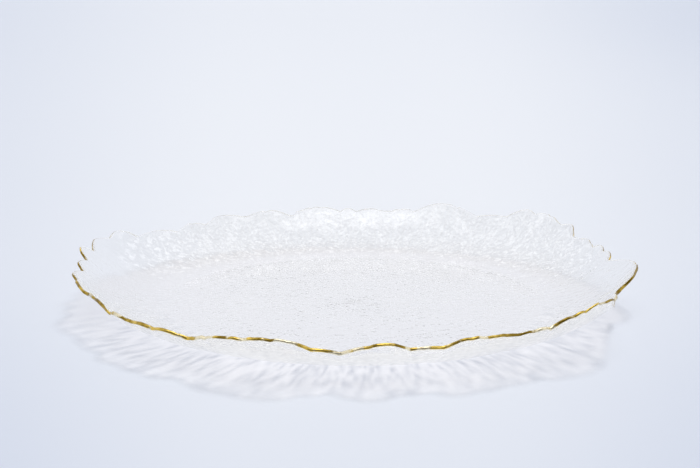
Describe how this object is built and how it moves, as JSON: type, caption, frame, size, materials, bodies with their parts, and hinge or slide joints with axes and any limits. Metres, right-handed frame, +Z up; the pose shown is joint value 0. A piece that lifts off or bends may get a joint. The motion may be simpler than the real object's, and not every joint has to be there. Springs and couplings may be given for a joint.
{
  "type": "glass charger plate",
  "caption": "Dished clear glass charger plate with an irregular scalloped lip, pressed ring relief underneath and a gilded edge, for serving or setting under a dinner plate.",
  "frame": {"origin": "centre of the plate on the surface it stands on", "axes": "+Z up out of the dish, +X to the right and +Y away from the viewer in the picture"},
  "size_m": [0.3278, 0.3233, 0.0334],
  "materials": {
    "clear_glass": "clear fire-polished pressed glass",
    "gilding": "bright gold fired on the edge"
  },
  "bodies": {
    "root": {"glass_plate": "clear_glass", "gold_rim": "gilding"}
  },
  "joints": []
}
